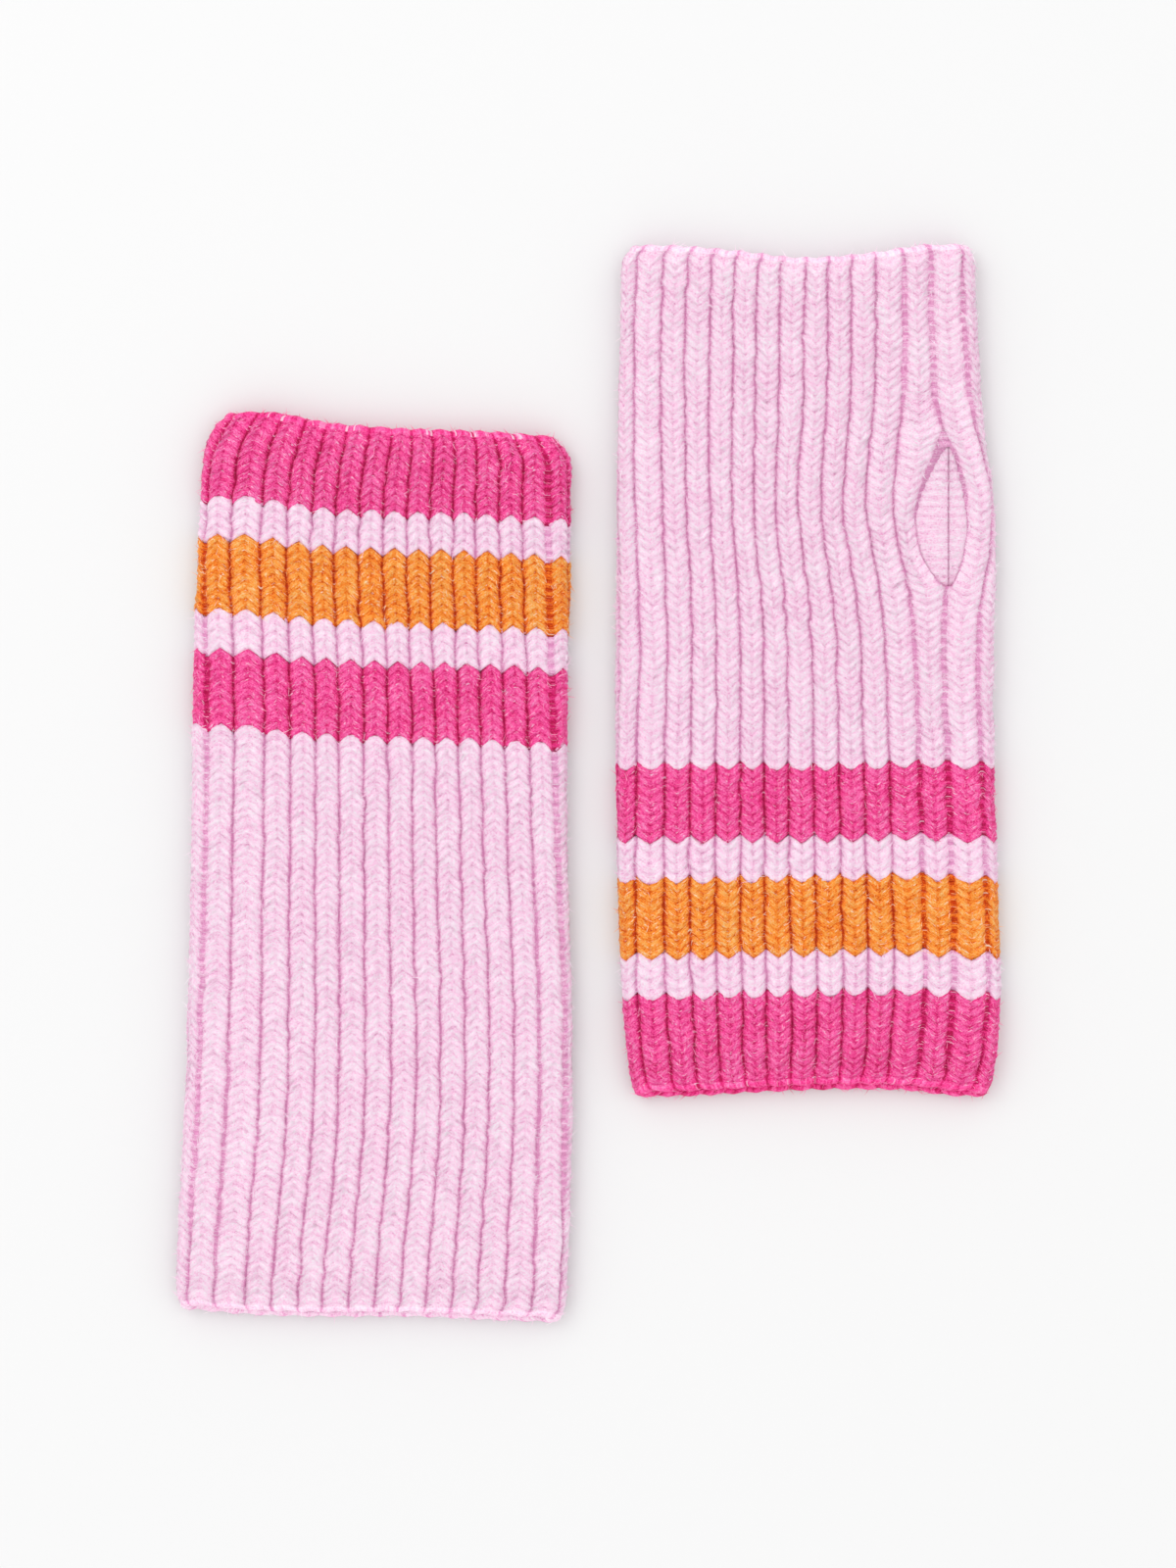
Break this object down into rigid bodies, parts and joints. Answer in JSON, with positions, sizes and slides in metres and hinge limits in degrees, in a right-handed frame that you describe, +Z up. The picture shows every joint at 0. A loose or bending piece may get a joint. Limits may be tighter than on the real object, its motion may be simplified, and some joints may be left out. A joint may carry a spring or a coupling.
{
  "type": "pair of knitted arm warmers",
  "caption": "Pair of rib-knit wool arm warmers laid flat side by side, pink with a magenta cuff and magenta and orange stripes, and a thumb slit in each.",
  "frame": {"origin": "on the surface the pair lies on, below the middle of the pair's box", "axes": "+X across the pair towards the warmer whose cuff is near, +Y along the knitted tubes towards the other one's cuff, +Z up from the surface"},
  "size_m": [0.1966, 0.2568, 0.007],
  "materials": {
    "pink_wool": "matte, brushed wool rib knit",
    "magenta_wool": "matte, brushed wool rib knit",
    "orange_wool": "matte, brushed wool rib knit"
  },
  "bodies": {
    "root": {"left_cuff": "magenta_wool", "left_pale_stripe_a": "pink_wool", "left_orange_stripe": "orange_wool", "left_pale_stripe_b": "pink_wool", "left_magenta_stripe": "magenta_wool", "left_body": "pink_wool", "left_thumb_lip_wide": "pink_wool", "left_thumb_lip_narrow": "pink_wool", "right_cuff": "magenta_wool", "right_pale_stripe_a": "pink_wool", "right_orange_stripe": "orange_wool", "right_pale_stripe_b": "pink_wool", "right_magenta_stripe": "magenta_wool", "right_body": "pink_wool", "right_thumb_lip_wide": "pink_wool", "right_thumb_lip_narrow": "pink_wool"}
  },
  "joints": []
}
